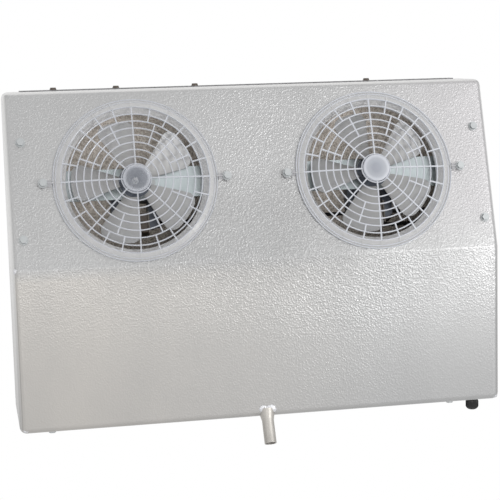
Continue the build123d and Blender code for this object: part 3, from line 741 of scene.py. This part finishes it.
def domeRib(inner, outer):
    a, out, along = domePoint(inner)
    tall = guard["tall"] * guard["ribShare"]
    place = Vector((0, 0, domeHeart)) + out * (domeRadius - tall / 2 - guard["ribDrop"])
    made = addProfile(4, place, -out, (0, 1, 0), (tall, guard["ribWidth"]))
    steps = max(2, round((outer - inner) / guard["ribStep"]))
    return spinOutline(made, a - domePoint(outer)[0], steps, (0, 0, domeHeart), (0, 1, 0))


# the skirt runs from the rim of the grille down to its foot on the case
skirtTop = Vector((guard["rim"], 0, guard["domeRim"] - guard["skirtTopDrop"]))
skirtFoot = Vector((guard["skirtFoot"], 0, guard["skirtFootHigh"]))
skirtWay = (skirtFoot - skirtTop).normalized()
skirtOut = Vector((-skirtWay.z, 0, skirtWay.x))


def skirtRib():
    made = addProfile(4, skirtTop, skirtOut, (0, 1, 0), (guard["skirtRibTall"], guard["ribWidth"]))
    bpy.ops.object.mode_set(mode="EDIT")
    bpy.ops.mesh.select_all(action="SELECT")
    bpy.ops.mesh.extrude_region_move(TRANSFORM_OT_translate={"value": skirtFoot - skirtTop})
    bpy.ops.mesh.select_all(action="SELECT")
    bpy.ops.mesh.normals_make_consistent(inside=False)
    bpy.ops.object.mode_set(mode="OBJECT")
    return made


def turned(piece, count, places):
    # copies of one modelled piece round the fan's axis, a whole turn being this many places
    parts = []
    for k in places:
        part = piece.copy()
        part.data = piece.data.copy()
        part.data.transform(Matrix.Rotation(math.radians(360 / count * k), 4, "Z"))
        bpy.context.collection.objects.link(part)
        parts.append(part)
    bpy.data.objects.remove(piece)
    return parts


def joined(parts, name):
    deselect()
    for part in parts:
        part.select_set(True)
    bpy.context.view_layer.objects.active = parts[0]
    bpy.ops.object.join()
    bpy.context.object.name = name
    return bpy.context.object


def makeGrille():
    main, outer = guard["mainRibs"], guard["outerRibs"]
    parts = [domeRing(r) for r in ringRadii]
    parts += turned(domeRib(guard["hub"] - 0.001, guard["rim"]), main, range(main))
    # shorter ribs halfway between the main ones, and the outermost ones
    parts += turned(domeRib(ringRadii[3], ringRadii[6]), main, [k + 0.5 for k in range(main)])
    between = [k for k in range(outer) if k % (outer // main)]
    parts += turned(domeRib(ringRadii[6], guard["rim"]), outer, between)
    size = (guard["beadWidth"], guard["beadTall"])
    parts += [flatRing(8, r, guard["beadHigh"], size) for r in guard["beads"]]
    return joined(parts, "fan_grille")


def earDisc(way):
    # every edge of the disc is bevelled
    deselect()
    place = (way * ear["reach"], 0, ear["high"])
    bpy.ops.mesh.primitive_cylinder_add(vertices=40, radius=ear["radius"], depth=ear["thick"], location=place)
    disc = bpy.context.object
    bpy.ops.object.mode_set(mode="EDIT")
    bpy.ops.mesh.bevel(offset=ear["bevel"], segments=2)
    bpy.ops.object.mode_set(mode="OBJECT")
    return disc


def earBar(way, reach, high, size):
    deselect()
    bpy.ops.mesh.primitive_cube_add(size=1, location=(way * reach, 0, high), scale=size)
    return bpy.context.object


def makeSkirt():
    size = ((skirtFoot - skirtTop).length, guard["skirtWall"])
    parts = [wholeTurn(addProfile(4, (skirtTop + skirtFoot) / 2, skirtWay, skirtOut, size))]
    inner, outer = guard["beads"]
    base = (outer - inner, guard["baseTall"])
    parts.append(flatRing(4, (inner + outer) / 2, guard["baseHigh"], base))
    parts += turned(skirtRib(), guard["outerRibs"], range(guard["outerRibs"]))
    for way in (-1, 1):
        parts += [earDisc(way), earBar(way, **ear["arm"]), earBar(way, **ear["fin"])]
    return joined(parts, "fan_skirt")


def makeHub():
    # the whole disc is selected, so the extrusion doubles it upwards and the bevel rounds the upper one;
    # this makes no nipple and leaves the lower disc inside out
    deselect()
    place = (0, 0, guard["domeTop"] - guard["hubDrop"])
    size = {"radius": guard["hub"], "depth": guard["hubThick"]}
    bpy.ops.mesh.primitive_cylinder_add(vertices=64, location=place, **size)
    hub = bpy.context.object
    bpy.ops.object.mode_set(mode="EDIT")
    bpy.ops.mesh.extrude_region_move(TRANSFORM_OT_translate={"value": (0, 0, guard["hubRise"])})
    bpy.ops.mesh.bevel(offset=guard["hubBevel"], segments=3)
    bpy.ops.object.mode_set(mode="OBJECT")
    hub.name = "guard_hub"
    return hub


def fanMatrix(side):
    # from the fan's own frame, X along the case, Y up the fan face and Z out of it, to its place
    lean = math.radians(fans["lean"])
    c, s = math.cos(lean), math.sin(lean)
    turn = Matrix(((1, 0, 0), (0, s, -c), (0, c, s)))
    return Matrix.Translation((fans[side], fans["y"], fans["z"])) @ turn.to_4x4()


def settle(model, side, finish):
    # a copy of the model, put in its place in the case
    deselect()
    piece = model.copy()
    piece.data = model.data.copy()
    piece.name = f"{model.name}_{side}"
    bpy.context.collection.objects.link(piece)
    piece.select_set(True)
    bpy.context.view_layer.objects.active = piece
    piece.matrix_world = fanMatrix(side) @ piece.matrix_world
    bpy.ops.object.transform_apply(location=True, rotation=True, scale=True)
    bpy.ops.object.shade_smooth_by_angle(angle=smoothAngle)
    piece.data.materials.append(finish)
    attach(piece, "case")
    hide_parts(f"fan_guard_{side}")


guardModels = [(makeGrille(), "ribs"), (makeSkirt(), "skirt"), (makeHub(), "hub")]
for side in ("left", "right"):
    for model, part in guardModels:
        settle(model, side, guardFinish(part, side))
for model, part in guardModels:
    bpy.data.objects.remove(model)
print("guards made")

# beads of weld: where, and how far they spread along X, Y and Z
welds = {
    "weld_bend_left": ((-0.3135, -0.1270, -0.0054), (0.0028, 0.0024, 0.0040)),
    "weld_bottom_left": ((-0.3090, -0.1262, -0.2068), (0.0056, 0.0032, 0.0036)),
    "weld_bottom_right": ((0.3115, -0.1255, -0.2075), (0.0042, 0.0034, 0.0034)),
    "weld_drain_left": ((-0.0055, -0.1293, -0.2015), (0.0062, 0.0022, 0.0050)),
    "weld_drain_right": ((0.0045, -0.1298, -0.2025), (0.0072, 0.0022, 0.0058)),
}
weldLumps = {"offset": 0.09, "uniform": 0.3, "normal": 0.7}


def makeWeld(name, place, spread):
    # a ball pushed about at random, smoothed and squashed
    deselect()
    bpy.ops.mesh.primitive_ico_sphere_add(subdivisions=3, radius=1, location=place)
    bead = bpy.context.object
    bead.name = name
    bpy.ops.object.mode_set(mode="EDIT")
    bpy.ops.mesh.select_all(action="SELECT")
    bpy.ops.transform.vertex_random(**weldLumps, seed=len(name))
    bpy.ops.mesh.subdivide(number_cuts=1, smoothness=0.6)
    bpy.ops.object.mode_set(mode="OBJECT")
    bead.scale = spread
    bpy.ops.object.transform_apply(location=True, rotation=True, scale=True)
    bpy.ops.object.shade_smooth()
    bead.data.materials.append(coats["weldBead"])
    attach(bead, "case")


for name, (place, spread) in welds.items():
    makeWeld(name, place, spread)
print("welds made")

# studio: a pale floor well below the case, a white sky and soft lamps
studio = {
    "floorDrop": 0.95,
    "floorSize": 5.0,
    "floorTone": (0.82, 0.82, 0.82),
    "floorNear": 0.4,
    "floorGlow": 0.7,
    "floorSlope": 0.5,
    "skyTone": (0.97, 0.98, 1.0),
    "skyLight": 0.5,
    "aim": (0, -0.1, 0),
}
lamps = {
    "front": {"at": (1.60, -2.45, 0.15), "size": 0.5, "power": 16},
    "key": {"at": (1.9, -2.6, 1.5), "size": 1.8, "power": 11},
    "fill": {"at": (-2.2, -2.2, 1.2), "size": 2.0, "power": 4},
    "near": {"at": (-0.40, -2.40, 0.25), "size": 0.5, "power": 3.5},
    "top": {"at": (0.2, -0.6, 2.4), "size": 1.6, "power": 3},
}


def seenDirectly(shop):
    rays = ("Camera", "Glossy", "Transmission")
    paths = [shop.node("ShaderNodeLightPath", out=f"Is {ray} Ray") for ray in rays]
    return (paths[0] + paths[1] + paths[2]).clamp()


def makeFloor():
    # partly white of its own where it is seen, more so further out, with the shadow of the case
    deselect()
    place = (0, 0, cadBox[0].z - studio["floorDrop"])
    size = {"vertices": 96, "radius": studio["floorSize"]}
    bpy.ops.mesh.primitive_circle_add(fill_type="NGON", location=place, **size)
    floor = bpy.context.object
    floor.name = "studioFloor"
    f = Finish("paleFloor")
    f.set(Base_Color=studio["floorTone"], Roughness=0.9)
    far = f.node("ShaderNodeVectorMath", {"operation": "LENGTH"}, [f.object()], "Value")
    white = ((far - studio["floorNear"]) * studio["floorSlope"] + studio["floorGlow"]).clamp()
    glow = f.node("ShaderNodeEmission", {}, {"Color": (1, 1, 1), "Strength": 1.0})
    matt = Val(f, f.shader.outputs[0])
    f.plug(f.out.inputs[0], f.node("ShaderNodeMixShader", {}, [seenDirectly(f) * white, matt, glow]))
    floor.data.materials.append(f.mat)


def makeSky():
    # white where it is seen, weaker where it lights
    world = bpy.data.worlds.new("studioSky")
    bpy.context.scene.world = world
    world.use_nodes = True
    sky = Shop(world.node_tree)
    backdrop = sky.tree.nodes["Background"]
    sky.plug(backdrop.inputs["Color"], (1, 1, 1))
    sky.plug(backdrop.inputs["Strength"], 1.0)
    values = {"Color": studio["skyTone"], "Strength": studio["skyLight"]}
    light = sky.node("ShaderNodeBackground", {}, values)
    seen = Val(sky, backdrop.outputs[0])
    mixed = sky.node("ShaderNodeMixShader", {}, [seenDirectly(sky), light, seen])
    sky.plug(sky.tree.nodes["World Output"].inputs[0], mixed)


def addLamp(name, at, size, power):
    deselect()
    toward = (Vector(studio["aim"]) - Vector(at)).to_track_quat("-Z", "Y").to_euler()
    bpy.ops.object.light_add(type="AREA", location=at, rotation=toward)
    lamp = bpy.context.object
    lamp.name = name + "Lamp"
    lamp.data.size = size
    lamp.data.energy = power


makeFloor()
makeSky()
for name, values in lamps.items():
    addLamp(name, **values)
bpy.context.scene.view_settings.view_transform = "Standard"
print("studio lit")
